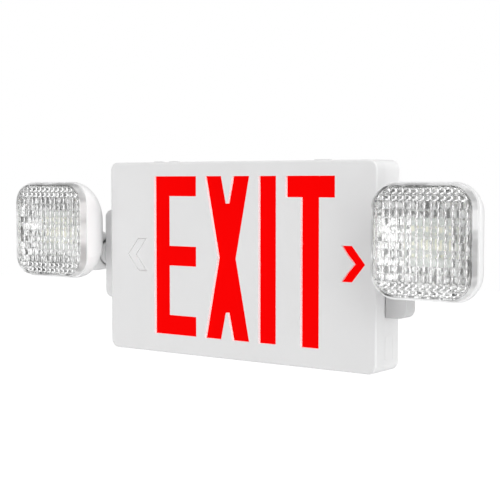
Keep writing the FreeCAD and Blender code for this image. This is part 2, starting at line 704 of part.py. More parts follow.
# ---------------------------------------------------------------- test button
flange_low = FLOOR + S.fixed_gap
flange_top = flange_low + S.button_flange
switch_low = flange_top + S.spring_length
plunger_low = flange_top + S.button_travel + S.fixed_gap
button_low = -HALF_HEIGHT - S.button_proud
keep(fuse("test_button", [
    cylinder("button_cap", "+Z", S.button_right, BUTTON_Y, button_low, S.button_radius,
             flange_top - button_low),
    cylinder("button_flange", "+Z", S.button_right, BUTTON_Y, flange_low,
             S.button_flange_radius, S.button_flange)]), "test_button")
keep(fuse("test_switch", [
    box("switch_body", S.button_right - S.switch_width / 2, BUTTON_Y - S.switch_width / 2,
        switch_low, S.switch_width, S.switch_width, SHELF_Z - switch_low),
    cylinder("switch_plunger", "+Z", S.button_right, BUTTON_Y, plunger_low,
             S.plunger_radius, switch_low - plunger_low + 1)]), "test_switch")

turns = 4
coil_spring = new_body("button_spring")
wire = sketch_on(coil_spring, "spring_wire", "XZ_Plane")
circle(wire, S.spring_radius, S.spring_wire_radius * 1.2, S.spring_wire_radius)
winding = coil_spring.newObject("PartDesign::AdditiveHelix", "spring_winding")
winding.Profile = wire
winding.ReferenceAxis = (wire, ["V_Axis"])
winding.Mode = "pitch-turns-angle"
winding.Turns = turns
bind(winding, Pitch=(S.spring_length - S.spring_wire_radius * 2.4) / turns)
place(coil_spring, S.button_right, BUTTON_Y, flange_top)
keep(coil_spring, "button_spring")

indicator_x = S.button_right + S.indicator_spacing
keep(fuse("charge_indicator", [
    cylinder("indicator_tip", "+Z", indicator_x, BUTTON_Y, -HALF_HEIGHT - S.button_proud / 2,
             S.indicator_radius - S.fixed_gap, BASE_WALL + S.button_proud / 2),
    cylinder("indicator_collar", "+Z", indicator_x, BUTTON_Y, FLOOR,
             S.indicator_radius + 1, 1.2)]), "charge_indicator")

# ---------------------------------------------------------------- ears
def ear_bracket():
    """Hollow side bracket, open towards the housing, with two screw bosses."""
    body = new_body("ear_body")
    back = -EAR_FRONT - S.ear_depth
    outline = sketch_on(body, "ear_outline", "XZ_Plane", back)
    # the outline starts one corner radius inside the housing and is trimmed flush
    rounded_rectangle(outline, EAR_SIDE - (S.ear_reach + S.ear_radius) / 2, PIVOT_Z,
                      S.ear_reach + S.ear_radius, S.ear_height, S.ear_radius)
    solid = pad(body, outline, S.ear_depth)
    front = EAR_FRONT.value
    fillet(body, solid, S.face_edge_radius / 2, lambda point: abs(point.y - front) < 0.01)
    inner = sketch_on(body, "ear_cavity", "XZ_Plane", -EAR_FRONT - S.ear_wall)
    rounded_rectangle(inner, EAR_SIDE - S.ear_wall - (S.ear_reach + S.ear_radius) / 2,
                      PIVOT_Z, S.ear_reach + S.ear_radius, S.ear_height - S.ear_wall * 2,
                      S.ear_radius - S.ear_wall)
    pocket(body, inner, S.ear_depth - S.ear_wall * 2)
    return body


trim = box("ear_trim", HALF_WIDTH - S.ear_radius * 3, EAR_FRONT - S.ear_depth,
           PIVOT_Z - S.ear_height, S.ear_radius * 3, S.ear_depth * 3, S.ear_height * 2)
shaft_hole = cylinder("ear_shaft_hole", "+X", EAR_SIDE - S.ear_wall * 2, EAR_MIDDLE, PIVOT_Z,
                      S.collar_radius + S.running_gap, S.ear_wall * 3)
bosses = [cylinder("ear_boss", "+X", HALF_WIDTH, EAR_MIDDLE, PIVOT_Z + S.ear_screw_reach * end,
                   S.post_radius, S.ear_reach - S.ear_wall / 2) for end in (-1, 1)]
pilots = [cylinder("ear_pilot", "+X", HALF_WIDTH - 1, EAR_MIDDLE,
                   PIVOT_Z + S.ear_screw_reach * end, S.pilot_radius,
                   S.ear_screw_grip + 3) for end in (-1, 1)]
shadow_gap = box("ear_shadow_gap", HALF_WIDTH - S.shadow_gap, EAR_FRONT - S.shadow_gap_depth,
                 PIVOT_Z - S.ear_height, S.shadow_gap * 2, S.shadow_gap_depth * 2,
                 S.ear_height * 2)
ear_shell = cut("ear_shell", ear_bracket(), [trim, shaft_hole, shadow_gap])
both_sides("ear_bracket", cut("ear_bracket", fuse("ear_bossed", [ear_shell] + bosses), pilots))
both_sides("ear_screws", group("ear_screws", [
    screw("ear_screw", "+X", HALF_WIDTH - BASE_WALL, EAR_MIDDLE,
          PIVOT_Z + S.ear_screw_reach * end, BASE_WALL + S.ear_screw_grip)
    for end in (-1, 1)]))

# ---------------------------------------------------------------- tilt collar and pan pin
tail_x = EAR_SIDE - S.ear_wall - S.collar_tail
slice_x = EAR_SIDE + S.ball_slice
fork_half = S.fork_gap / 2 + S.fork_cheek
ball = doc.addObject("Part::Sphere", "collar_ball")
bind(ball, Radius=S.ball_radius)
place(ball, PIN_X, EAR_MIDDLE, PIVOT_Z)
ball_slice = doc.addObject("Part::MultiCommon", "collar_ball_slice")
ball_slice.Shapes = [ball, box("slice_blank", EAR_SIDE, EAR_MIDDLE - S.ball_radius,
                               PIVOT_Z - S.ball_radius, S.ball_slice, S.ball_radius * 2,
                               S.ball_radius * 2)]
collar_parts = [ball_slice,
                cylinder("collar_shaft", "+X", tail_x, EAR_MIDDLE, PIVOT_Z, S.collar_radius,
                         EAR_SIDE - tail_x + S.slot_floor)]
for end in (-1, 1):
    low = PIVOT_Z + S.fork_gap / 2 if end > 0 else PIVOT_Z - fork_half
    collar_parts.append(box("fork_cheek", slice_x - S.slot_floor, EAR_MIDDLE - S.fork_radius,
                            low, PIN_X - slice_x + S.slot_floor, S.fork_radius * 2,
                            S.fork_cheek))
    collar_parts.append(cylinder("fork_end", "+Z", PIN_X, EAR_MIDDLE, low, S.fork_radius,
                                 S.fork_cheek))
collar_cuts = [
    cylinder("collar_lead_bore", "+X", tail_x - 1, EAR_MIDDLE, PIVOT_Z, S.collar_bore,
             slice_x - tail_x + 2),
    box("fork_slot", EAR_SIDE + S.slot_floor, EAR_MIDDLE - S.fork_radius * 1.4,
        PIVOT_Z - S.fork_gap / 2, S.ball_slice, S.fork_radius * 2.8, S.fork_gap),
    cylinder("fork_pin_hole", "+Z", PIN_X, EAR_MIDDLE, PIVOT_Z - fork_half - 1,
             S.pin_radius + S.fixed_gap / 2, fork_half * 2 + 2)]
both_sides("tilt_collar", cut("tilt_collar", fuse("collar_blank", collar_parts), collar_cuts))
both_sides("pan_pin", cylinder("pan_pin", "+Z", PIN_X, EAR_MIDDLE, PIVOT_Z - fork_half,
                               S.pin_radius, fork_half * 2))

washer_x = EAR_SIDE - S.ear_wall - S.washer_thickness
both_sides("tilt_washer", cut("tilt_washer", cylinder(
    "washer_disc", "+X", washer_x, EAR_MIDDLE, PIVOT_Z, S.washer_radius, S.washer_thickness),
    [cylinder("washer_hole", "+X", washer_x - 1, EAR_MIDDLE, PIVOT_Z,
              S.collar_radius + S.fixed_gap, S.washer_thickness + 2)]))
hexagon = doc.addObject("Part::Prism", "nut_blank")
hexagon.Polygon = 6
hexagon.Placement = Placement(Vector(), TURN["+X"][0])
bind(hexagon, Circumradius=S.nut_width / math.sqrt(3), Height=S.nut_thickness)
place(hexagon, washer_x - S.nut_thickness, EAR_MIDDLE, PIVOT_Z)
both_sides("tilt_nut", cut("tilt_nut", hexagon, [
    cylinder("nut_hole", "+X", washer_x - S.nut_thickness - 1, EAR_MIDDLE, PIVOT_Z,
             S.collar_radius + S.fixed_gap, S.nut_thickness + 2)]))


# ---------------------------------------------------------------- lamp head shell
DOME = [(0, 1, RIM_CORNER, 0), (0.4224, 0.906, 0.5, 0.29), (0.706, 0.706, 0.62, 0.6),
        (0.8837, 0.469, 0.79, 0.84), (0.9694, 0.242, 0.93, 0.96), (0.9939, 0.104, 0.97, 1)]


def dome(name, wall):
    """A bowl with a rounded-square mouth: half an ellipse deep, its crown off-centre."""
    body = new_body(name)
    sections = []
    for number, (deep, wide, corner, shift) in enumerate(DOME):
        section = sketch_on(body, "%s_section_%d" % (name, number), "XZ_Plane",
                            -RIM_PLANE - (S.dome_depth - wall) * deep)
        width = (S.rim_width - sized(wall) * 2) * wide
        rounded_rectangle(section, HEAD_X - S.dome_shift_in * shift,
                          S.head_up - S.dome_shift_down * shift, width, width,
                          width / 2 * corner)
        sections.append(section)
    loft(body, sections)
    return body


def neck(name, wall):
    """A horn that widens from the pivot and bends forward into the bowl."""
    body = new_body(name)
    places = [(S.neck_gap, 0, S.neck_mouth_up, S.neck_radius),
              (S.neck_middle_out, S.neck_middle_forward, S.neck_middle_up,
               S.neck_middle_radius),
              (S.neck_root_out, S.neck_root_forward, S.neck_root_up, S.neck_root_radius)]
    sections = []
    for number, (out, forward, up, radius) in enumerate(places):
        section = sketch_on(body, "%s_section_%d" % (name, number), "YZ_Plane",
                            EAR_SIDE + out)
        circle(section, EAR_MIDDLE - forward, PIVOT_Z + up, radius - wall)
        sections.append(section)
    loft(body, sections)
    return body


dome_outside = dome("dome_outside", sized(0))
dome_inside = dome("dome_inside", S.shell_wall)
neck_outside = neck("neck_outside", sized(0))
neck_inside = neck("neck_inside", S.neck_wall)
# surfaces halfway through the walls trim what is added inside the shell
dome_middle = dome("dome_middle", S.shell_wall / 2)
neck_middle = neck("neck_middle", S.neck_wall / 2)
# clears the bowl's flank where it passes in front of the horn's mouth
mouth = cylinder("neck_mouth", "+X", EAR_SIDE - 1, EAR_MIDDLE, PIVOT_Z + S.neck_mouth_up,
                 S.neck_radius - S.neck_wall - S.neck_relief, S.neck_gap + 2)
shell = cut("shell_hollow", fuse("shell_blank", [dome_outside, neck_outside]),
            [dome_inside, neck_inside, mouth])

BULKHEAD_X = EAR_SIDE + S.bulkhead_out
tongue_half = S.fork_gap / 2 - S.tongue_gap
plate = doc.addObject("Part::MultiCommon", "bulkhead_plate")
plate.Shapes = [neck_middle, box("bulkhead_blank", BULKHEAD_X, EAR_MIDDLE - S.rim_width,
                                 PIVOT_Z - S.rim_width, S.bulkhead, S.rim_width * 2,
                                 S.rim_width * 2)]
bulkhead = cut("bulkhead_trimmed", plate, [dome_inside])
tongue = [box("tongue", PIN_X, EAR_MIDDLE - S.fork_radius, PIVOT_Z - tongue_half,
              BULKHEAD_X - PIN_X + S.bulkhead / 2, S.fork_radius * 2, tongue_half * 2),
          cylinder("tongue_end", "+Z", PIN_X, EAR_MIDDLE, PIVOT_Z - tongue_half,
                   S.fork_radius, tongue_half * 2)]
LAMP_BOARD_FRONT = RIM_PLANE + S.lens_skirt + S.dish_depth
LAMP_BOARD_BACK = LAMP_BOARD_FRONT + S.board_thickness
lamp_screw_places = [(HEAD_X + S.lamp_screw_spacing / 2 * side,
                      S.head_up - S.lamp_screw_spacing / 2 * side) for side in (-1, 1)]
lamp_posts = doc.addObject("Part::MultiCommon", "lamp_posts")
lamp_posts.Shapes = [dome_middle, fuse("lamp_post_blanks", [
    cylinder("lamp_post", "+Y", x, LAMP_BOARD_BACK, z, S.lamp_post_radius, S.dome_depth)
    for x, z in lamp_screw_places])]
shell_cuts = [cylinder("lamp_pilot", "+Y", x, LAMP_BOARD_BACK - 1, z, S.pilot_radius,
                       S.lamp_screw_grip * 1.5)
              for x, z in lamp_screw_places]
shell_cuts.append(cylinder("tongue_bore", "+Z", PIN_X, EAR_MIDDLE, PIVOT_Z - fork_half,
                           S.pin_radius + S.running_gap, fork_half * 2))
shell_cuts.append(cylinder("lead_pass", "+X", BULKHEAD_X - 1, EAR_MIDDLE,
                           PIVOT_Z + S.neck_radius * 0.55, S.lead_pass_radius,
                           S.bulkhead + 2))
both_sides("head_shell", cut("head_shell", fuse("shell_filled", [shell, bulkhead, lamp_posts]
                                                + tongue), shell_cuts))


# ---------------------------------------------------------------- lamp head inside
def square_loft(body, name, planes, grow):
    """Loft between rounded squares: planes hold a depth, a width and a corner radius."""
    sections = []
    for number, (y, width, radius) in enumerate(planes):
        section = sketch_on(body, "%s_%d" % (name, number), "XZ_Plane", -y)
        rounded_rectangle(section, HEAD_X, S.head_up, width + sized(grow) * 2,
                          width + sized(grow) * 2, radius + grow)
        sections.append(section)
    return sections


def head_reflector():
    """Bright open dish between the lamp board and the lens."""
    body = new_body("head_reflector_body")
    front = RIM_PLANE + S.lens_skirt
    inset = S.shell_wall + S.dish_gap
    width = S.rim_width - inset * 2
    planes = [(front, width, width / 2 * RIM_CORNER),
              (LAMP_BOARD_FRONT, S.dish_back_width, S.dish_back_radius)]
    loft(body, square_loft(body, "dish_outside", planes, sized(0)))
    loft(body, square_loft(body, "dish_inside", planes, -S.dish_wall),
         "PartDesign::SubtractiveLoft")
    return body


def head_lens():
    """Clear cover: drafted rim, flat front with upright flutes behind it, snap skirt."""
    body = new_body("head_lens_body")
    back = RIM_PLANE
    edge = S.rim_step + S.lens_draft
    planes = [(LENS_FRONT, S.rim_width - edge * 2, RIM_RADIUS - edge),
              (back, S.rim_width - S.rim_step * 2, RIM_RADIUS - S.rim_step)]
    loft(body, square_loft(body, "lens_outside", planes, sized(0)))
    skirt = sketch_on(body, "lens_skirt", "XZ_Plane", -back - S.lens_skirt)
    inset = S.shell_wall + S.snap_gap
    width = S.rim_width - inset * 2
    rounded_rectangle(skirt, HEAD_X, S.head_up, width, width, width / 2 * RIM_CORNER)
    pad(body, skirt, S.lens_skirt + S.snap_gap)
    inner = sketch_on(body, "lens_hollow", "XZ_Plane", -LENS_FRONT - S.lens_front_wall)
    hollow = width - S.skirt_wall * 2
    rounded_rectangle(inner, HEAD_X, S.head_up, hollow, hollow,
                      width / 2 * RIM_CORNER - S.skirt_wall)
    pocket(body, inner, S.lens_depth + S.lens_skirt)
    height = hollow - S.flute_margin * 2
    rib = sketch_on(body, "lens_flute", "XY_Plane", S.head_up - height / 2)
    wall = LENS_FRONT + S.lens_front_wall
    pitch = S.rim_width / 15.5
    half = (pitch - S.flute_valley) / 2
    first = HEAD_X - pitch * 6
    sunk = wall - S.flute_depth
    polygon(rib, [(first - half, sunk), (first + half, sunk), (first + half, wall),
                  (first + half * 0.55, wall + S.flute_depth * 0.8),
                  (first, wall + S.flute_depth),
                  (first - half * 0.55, wall + S.flute_depth * 0.8), (first - half, wall)])
    flute = pad(body, rib, height)
    doc.recompute()
    row = body.newObject("PartDesign::LinearPattern", "flute_row")
    row.Originals = [flute]
    axis = [item for item in body.Origin.OriginFeatures if item.Role == "X_Axis"][0]
    row.Direction = (axis, [""])
    row.Occurrences = 13
    bind(row, Length=pitch * 12)
    body.Tip = row
    return body


both_sides("head_reflector", head_reflector())
both_sides("head_lens", head_lens())
lamp_board = centred_box("lamp_board_blank", HEAD_X, LAMP_BOARD_BACK, S.head_up,
                         S.lamp_board_width, S.board_thickness, S.lamp_board_width)
both_sides("lamp_board", cut("lamp_board", lamp_board, [
    cylinder("lamp_board_hole", "+Y", x, LAMP_BOARD_FRONT - 1, z, S.screw_hole_radius,
             S.board_thickness + 2) for x, z in lamp_screw_places]))
both_sides("lamp_leds", group("lamp_leds", [
    centred_box("lamp_led", HEAD_X + S.lamp_led_pitch * across, LAMP_BOARD_FRONT,
                S.head_up + S.lamp_led_pitch * up, S.lamp_led_size, S.lamp_led_height,
                S.lamp_led_size) for up in (-0.5, 0.5) for across in (-1, 0, 1)]))
both_sides("lamp_screws", group("lamp_screws", [
    screw("lamp_screw", "+Y", x, LAMP_BOARD_FRONT, z, S.board_thickness + S.lamp_screw_grip)
    for x, z in lamp_screw_places]))

# ---------------------------------------------------------------- checks and export
doc.recompute()
for obj in doc.Objects:
    if "Invalid" in obj.State or "Error" in obj.State:
        raise RuntimeError("%s failed: %s" % (obj.Label, obj.State))
    shape = getattr(obj, "Shape", None)
    if shape is not None and hasattr(obj, "Placement") and not obj.isDerivedFrom("App::Origin"):
        if obj in pieces and (shape.isNull() or not shape.isValid()):
            raise RuntimeError("%s has no valid shape" % obj.Label)
os.makedirs("parts", exist_ok=True)
for piece in pieces:
    piece.Shape.exportStep("parts/%s.step" % piece.Label)
    print("%-22s solids %2d  volume %10.1f" % (piece.Label, len(piece.Shape.Solids),
                                              piece.Shape.Volume))
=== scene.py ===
import math
import bmesh
import bpy
import numpy as np
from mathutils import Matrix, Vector


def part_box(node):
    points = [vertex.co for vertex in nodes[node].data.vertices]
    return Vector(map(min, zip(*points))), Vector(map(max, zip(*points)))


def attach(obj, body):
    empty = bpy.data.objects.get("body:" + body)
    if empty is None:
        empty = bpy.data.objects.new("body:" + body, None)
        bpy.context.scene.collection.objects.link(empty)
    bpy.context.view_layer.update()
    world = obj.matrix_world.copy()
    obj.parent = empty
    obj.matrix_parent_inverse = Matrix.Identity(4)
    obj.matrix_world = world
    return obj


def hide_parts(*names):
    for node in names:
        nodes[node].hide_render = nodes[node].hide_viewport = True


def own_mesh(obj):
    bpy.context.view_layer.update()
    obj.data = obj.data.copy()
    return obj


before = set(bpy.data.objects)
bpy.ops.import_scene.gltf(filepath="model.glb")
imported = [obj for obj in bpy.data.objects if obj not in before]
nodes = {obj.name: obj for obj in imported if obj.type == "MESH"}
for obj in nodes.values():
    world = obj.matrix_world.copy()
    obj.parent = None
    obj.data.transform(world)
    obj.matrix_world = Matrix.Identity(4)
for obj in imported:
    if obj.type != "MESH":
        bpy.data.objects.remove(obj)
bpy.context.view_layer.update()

scene = bpy.context.scene

# ---------------------------------------------------------------------------
# Room: a pale floor well below the sign, soft square lamps as in a plain
# studio, and a surround that is white to the camera and through clear plastic
# and dimmer as light.  The camera stands to the sign's right, above its middle.
# ---------------------------------------------------------------------------
yaw, pitch = math.radians(36.20), math.radians(3.26)
camera = bpy.data.objects.new("camera", bpy.data.cameras.new("camera"))
camera.data.lens = 84.96
camera.data.sensor_width = 36.0
camera.data.clip_start = 0.01
camera.location = (0.6550, -0.9066, 0.07215)
camera.rotation_euler = (math.pi / 2 - pitch, 0, yaw)
scene.collection.objects.link(camera)
scene.camera = camera

scene.view_settings.view_transform = "Standard"
world = bpy.data.worlds.new("surround")
scene.world = world
world.use_nodes = True
tree = world.node_tree
tree.nodes.clear()
path = tree.nodes.new("ShaderNodeLightPath")
seen = tree.nodes.new("ShaderNodeMath")
seen.operation = "MAXIMUM"
tree.links.new(path.outputs["Is Camera Ray"], seen.inputs[0])
tree.links.new(path.outputs["Is Transmission Ray"], seen.inputs[1])
lit = tree.nodes.new("ShaderNodeBackground")
lit.inputs["Color"].default_value = (1, 1, 1, 1)
lit.inputs["Strength"].default_value = 0.41
white = tree.nodes.new("ShaderNodeBackground")
white.inputs["Color"].default_value = (1, 1, 1, 1)
white.inputs["Strength"].default_value = 1.0
blend = tree.nodes.new("ShaderNodeMixShader")
out = tree.nodes.new("ShaderNodeOutputWorld")
tree.links.new(seen.outputs[0], blend.inputs[0])
tree.links.new(lit.outputs[0], blend.inputs[1])
tree.links.new(white.outputs[0], blend.inputs[2])
tree.links.new(blend.outputs[0], out.inputs[0])


def studio_lamp(name, place, aim, size, power):
    """A square soft light at a place, turned to face a point."""
    lamp = bpy.data.objects.new(name, bpy.data.lights.new(name, "AREA"))
    lamp.data.shape = "SQUARE"
    lamp.data.size = size
    lamp.data.energy = power
    lamp.location = place
    direction = Vector(aim) - Vector(place)
    lamp.rotation_euler = direction.to_track_quat("-Z", "Y").to_euler()
    scene.collection.objects.link(lamp)


studio_lamp("key_light", (1.6, -0.7, 1.1), aim=(0.05, 0, 0), size=1.2, power=14)
studio_lamp("side_light", (2.0, -0.5, 0.1), aim=(0, 0, 0), size=1.0, power=13.5)
studio_lamp("fill_light", (-1.0, -1.2, 0.4), aim=(-0.1, 0, 0), size=1.2, power=3.3)
studio_lamp("low_light", (-0.7, -1.2, -0.4), aim=(-0.2, 0, 0), size=0.8, power=3.8)
studio_lamp("top_light", (0.1, -0.3, 1.7), aim=(0, -0.02, 0), size=1.2, power=10)


def grid_mesh(name, points, closed_columns=False):
    """A mesh from a (rows, columns, 3) array of points, one quad per cell.  Closed columns
    join the last one to the first."""
    rows, columns = points.shape[:2]
    index = np.arange(rows * columns).reshape(rows, columns)
    if closed_columns:
        index = np.hstack([index, index[:, :1]])
    quads = np.stack([index[:-1, :-1], index[1:, :-1], index[1:, 1:], index[:-1, 1:]], -1)
    mesh = bpy.data.meshes.new(name)
    mesh.from_pydata(points.reshape(-1, 3).tolist(), [], quads.reshape(-1, 4).tolist())
    mesh.update()
    return mesh


floor_reach, floor_height = 6.0, -0.62
edges = [-floor_reach, floor_reach]
x, y = np.meshgrid(edges, edges, indexing="ij")
corners = np.stack([x, y, np.full_like(x, floor_height)], -1)
floor = bpy.data.objects.new("floor", grid_mesh("floor", corners))
scene.collection.objects.link(floor)


def new_material(name):
    """A node material that holds only a Principled shader and its output."""
    material = bpy.data.materials.new(name)
    material.use_nodes = True
    material.node_tree.nodes.clear()
    output = material.node_tree.nodes.new("ShaderNodeOutputMaterial")
    shader = material.node_tree.nodes.new("ShaderNodeBsdfPrincipled")
    material.node_tree.links.new(shader.outputs[0], output.inputs[0])
    return material, material.node_tree, shader


# the floor glows for the camera alone, so it looks pale and its glow lights nothing
floor_glow = 0.72
material, tree, shader = new_material("pale_floor")
shader.inputs["Base Color"].default_value = (0.9, 0.9, 0.9, 1)
shader.inputs["Roughness"].default_value = 0.9
glow = tree.nodes.new("ShaderNodeEmission")
path = tree.nodes.new("ShaderNodeLightPath")
lift = tree.nodes.new("ShaderNodeMath")
lift.operation = "MULTIPLY"
lift.inputs[1].default_value = floor_glow
tree.links.new(path.outputs["Is Camera Ray"], lift.inputs[0])
tree.links.new(lift.outputs[0], glow.inputs["Strength"])
both = tree.nodes.new("ShaderNodeAddShader")
tree.links.new(shader.outputs[0], both.inputs[0])
tree.links.new(glow.outputs[0], both.inputs[1])
tree.links.new(both.outputs[0], tree.nodes["Material Output"].inputs[0])
floor.data.materials.append(material)


# ---------------------------------------------------------------------------
# Housing: the face cover and the back housing are injection-moulded white ABS
# with a fine spark-eroded texture.  They snap together at the seam, and the
# ears are screwed to the back housing's sides from inside.
# ---------------------------------------------------------------------------
def object_noise(tree, scale, detail=3.0, rough=0.5, stretch=(1, 1, 1)):
    """Noise over Object coordinates; scale counts features per metre."""
    coord = tree.nodes.new("ShaderNodeTexCoord")
    place = tree.nodes.new("ShaderNodeMapping")
    place.inputs["Scale"].default_value = stretch
    noise = tree.nodes.new("ShaderNodeTexNoise")
    noise.inputs["Scale"].default_value = scale
    noise.inputs["Detail"].default_value = detail
    noise.inputs["Roughness"].default_value = rough
    tree.links.new(coord.outputs["Object"], place.inputs["Vector"])
    tree.links.new(place.outputs["Vector"], noise.inputs["Vector"])
    return noise


def colour_between(tree, factor, low, high, start=0.3, stop=0.7):
    """A ramp that turns a factor into a colour between two."""
    ramp = tree.nodes.new("ShaderNodeValToRGB")
    ramp.color_ramp.elements[0].position = start
    ramp.color_ramp.elements[1].position = stop
    ramp.color_ramp.elements[0].color = (*low, 1)
    ramp.color_ramp.elements[1].color = (*high, 1)
    tree.links.new(factor, ramp.inputs[0])
    return ramp.outputs[0]


def bump_from(tree, shader, height, strength, distance):
    """Join a height to the shader's normal."""
    bump = tree.nodes.new("ShaderNodeBump")
    bump.inputs["Strength"].default_value = strength
    bump.inputs["Distance"].default_value = distance
    tree.links.new(height, bump.inputs["Height"])
    tree.links.new(bump.outputs[0], shader.inputs["Normal"])


def dress(material, *names):
    """Give CAD nodes a material in place of their plain one."""
    for name in names:
        data = nodes[name].data
        data.materials.clear()
        data.materials.append(material)


def off_white(level):
    """A white of a level, with a touch more blue."""
    return (level, level, level + 0.002)


def moulded_plastic(name, low, high, roughness, grain=2600, depth=0.00004):
    """Plastic: slow clouds in colour from low to high, patches in gloss, and a fine grain in
    the surface, counted in grains per metre."""
    material, tree, shader = new_material(name)
    cloud = object_noise(tree, scale=14, detail=2)
    tree.links.new(colour_between(tree, cloud.outputs["Fac"], low, high),
                   shader.inputs["Base Color"])
    gloss = tree.nodes.new("ShaderNodeMapRange")
    gloss.inputs["To Min"].default_value = roughness - 0.04
    gloss.inputs["To Max"].default_value = roughness + 0.05
    handled = object_noise(tree, scale=60, detail=4, rough=0.6)
    tree.links.new(handled.outputs["Fac"], gloss.inputs["Value"])
    tree.links.new(gloss.outputs["Result"], shader.inputs["Roughness"])
    fine = object_noise(tree, grain, detail=2, rough=0.6)
    bump_from(tree, shader, fine.outputs["Fac"], strength=0.3, distance=depth)
    shader.inputs["IOR"].default_value = 1.5
    # light scatters about a millimetre under the surface and softens narrow grooves
    shader.inputs["Subsurface Weight"].default_value = 0.35
    shader.inputs["Subsurface Radius"].default_value = (0.001, 0.001, 0.001)
    shader.inputs["Subsurface Scale"].default_value = 1.0
    return material


def recolour(material, colour, **limits):
    """Give a colour of its own to what lies inside a box about the origin.  Each limit is the
    box's half size on the axis it is named for, and an axis without one is open."""
    tree = material.node_tree
    shader = tree.nodes["Principled BSDF"]
    base = shader.inputs["Base Color"].links[0].from_socket
    coord = tree.nodes.new("ShaderNodeTexCoord")
    split = tree.nodes.new("ShaderNodeSeparateXYZ")
    tree.links.new(coord.outputs["Object"], split.inputs[0])
    inside = None
    for axis, limit in limits.items():
        away = tree.nodes.new("ShaderNodeMath")
        away.operation = "ABSOLUTE"
        near = tree.nodes.new("ShaderNodeMath")
        near.operation = "LESS_THAN"
        near.inputs[1].default_value = limit
        tree.links.new(split.outputs[axis], away.inputs[0])
        tree.links.new(away.outputs[0], near.inputs[0])
        if inside is not None:
            both = tree.nodes.new("ShaderNodeMath")
            both.operation = "MULTIPLY"
            tree.links.new(inside, both.inputs[0])
            tree.links.new(near.outputs[0], both.inputs[1])
            near = both
        inside = near.outputs[0]
    # sockets 6 and 7 of a colour mix are its first and second colour
    mix = tree.nodes.new("ShaderNodeMix")
    mix.data_type = "RGBA"
    mix.inputs[7].default_value = (*colour, 1)
    tree.links.new(inside, mix.inputs[0])
    tree.links.new(base, mix.inputs[6])
    tree.links.new(mix.outputs[2], shader.inputs["Base Color"])
    return material


# painted light: the cover is painted a brighter white behind its face, on the walls of the
# letters and of the open chevron, in the other chevron's groove and on the inside, to lift the
# shade in these recesses
painted_light_behind_face = {"X": 0.1475, "Y": 0.0384, "Z": 0.088}
cover_plastic = moulded_plastic("cover_plastic", off_white(0.77), off_white(0.79),
                                roughness=0.5)
dress(recolour(cover_plastic, (1, 1, 1), **painted_light_behind_face), "face_cover")
dress(moulded_plastic("base_plastic", off_white(0.79), off_white(0.81), roughness=0.5),
      "back_housing")
# painted shade: the right ear is painted darker than the housing for the shade of its lamp head,
# and its surfaces in the shadow gap beside the housing are painted near black as a painted
# shadow
painted_gap_shadow_x = 0.1531
painted_shade_ear_plastic = moulded_plastic("painted_shade_ear_plastic", off_white(0.62), off_white(0.65), roughness=0.5)
dress(recolour(painted_shade_ear_plastic, (0.03, 0.03, 0.03), X=painted_gap_shadow_x), "right_ear_bracket")
# painted light: the left ear is the same plastic painted a lighter white, for the light that
# falls on it
dress(moulded_plastic("painted_light_ear_plastic", off_white(0.88), off_white(0.9), roughness=0.5),
      "left_ear_bracket")

# ---------------------------------------------------------------------------
# Red panel: a sheet of translucent red acrylic behind the letters.  The strips
# in the light tray light it from behind, and its even glow is that light.
# ---------------------------------------------------------------------------
material, tree, shader = new_material("lit_red_acrylic")
shader.inputs["Base Color"].default_value = (0.2, 0.0, 0.0, 1)
shader.inputs["Roughness"].default_value = 0.45
shader.inputs["Specular IOR Level"].default_value = 0.01
even = object_noise(tree, scale=11, detail=2)
tree.links.new(colour_between(tree, even.outputs["Fac"], (0.94, 0.0, 0.0), (1.0, 0.0, 0.0)),
               shader.inputs["Emission Color"])
shader.inputs["Emission Strength"].default_value = 0.79
frost = object_noise(tree, scale=1800, detail=2)
bump_from(tree, shader, frost.outputs["Fac"], strength=0.15, distance=0.00003)
dress(material, "red_diffuser")

# ---------------------------------------------------------------------------
# Light tray: glossy white vacuum-formed tray that spreads the strips' light,
# slightly warm, with a faint orange-peel surface.
# ---------------------------------------------------------------------------
dress(moulded_plastic("tray_plastic", (0.86, 0.86, 0.84), (0.89, 0.89, 0.87),
                      roughness=0.22, grain=420, depth=0.00006), "light_tray")


# ---------------------------------------------------------------------------
# Circuit boards: glass-epoxy boards whose copper tracks lie under solder mask.
# The charger board is green, and the strips and lamp boards are white.
# ---------------------------------------------------------------------------
def solder_mask(name, mask, track, spacing):
    """A mask colour over raised tracks: the joints of a brick pattern, which is turned a
    right angle about X so that it lies in an upright board."""
    every_other = 0.94  # the share of the mask's colour that every other field has
    material, tree, shader = new_material(name)
    coord = tree.nodes.new("ShaderNodeTexCoord")
    turn = tree.nodes.new("ShaderNodeMapping")
    turn.inputs["Rotation"].default_value = (math.pi / 2, 0, 0)
    tree.links.new(coord.outputs["Object"], turn.inputs["Vector"])
    tracks = tree.nodes.new("ShaderNodeTexBrick")
    tracks.inputs["Scale"].default_value = 1 / spacing
    tracks.inputs["Mortar Size"].default_value = 0.09
    tracks.inputs["Mortar Smooth"].default_value = 0.3
    tracks.inputs["Color1"].default_value = (*mask, 1)
    tracks.inputs["Color2"].default_value = (*[part * every_other for part in mask], 1)
    tracks.inputs["Mortar"].default_value = (*track, 1)
    tree.links.new(turn.outputs["Vector"], tracks.inputs["Vector"])
    tree.links.new(tracks.outputs["Color"], shader.inputs["Base Color"])
    bump_from(tree, shader, tracks.outputs["Fac"], strength=0.5, distance=0.00004)
    shader.inputs["Roughness"].default_value = 0.3
    shader.inputs["Coat Weight"].default_value = 0.4
    shader.inputs["Coat Roughness"].default_value = 0.15
    return material


dress(solder_mask("green_board", (0.02, 0.16, 0.06), (0.06, 0.3, 0.1), spacing=0.006),
      "charger_board")
dress(solder_mask("white_board", (0.74, 0.75, 0.74), (0.5, 0.52, 0.5), spacing=0.007),
      "led_strip_top", "led_strip_bottom", "right_lamp_board", "left_lamp_board")


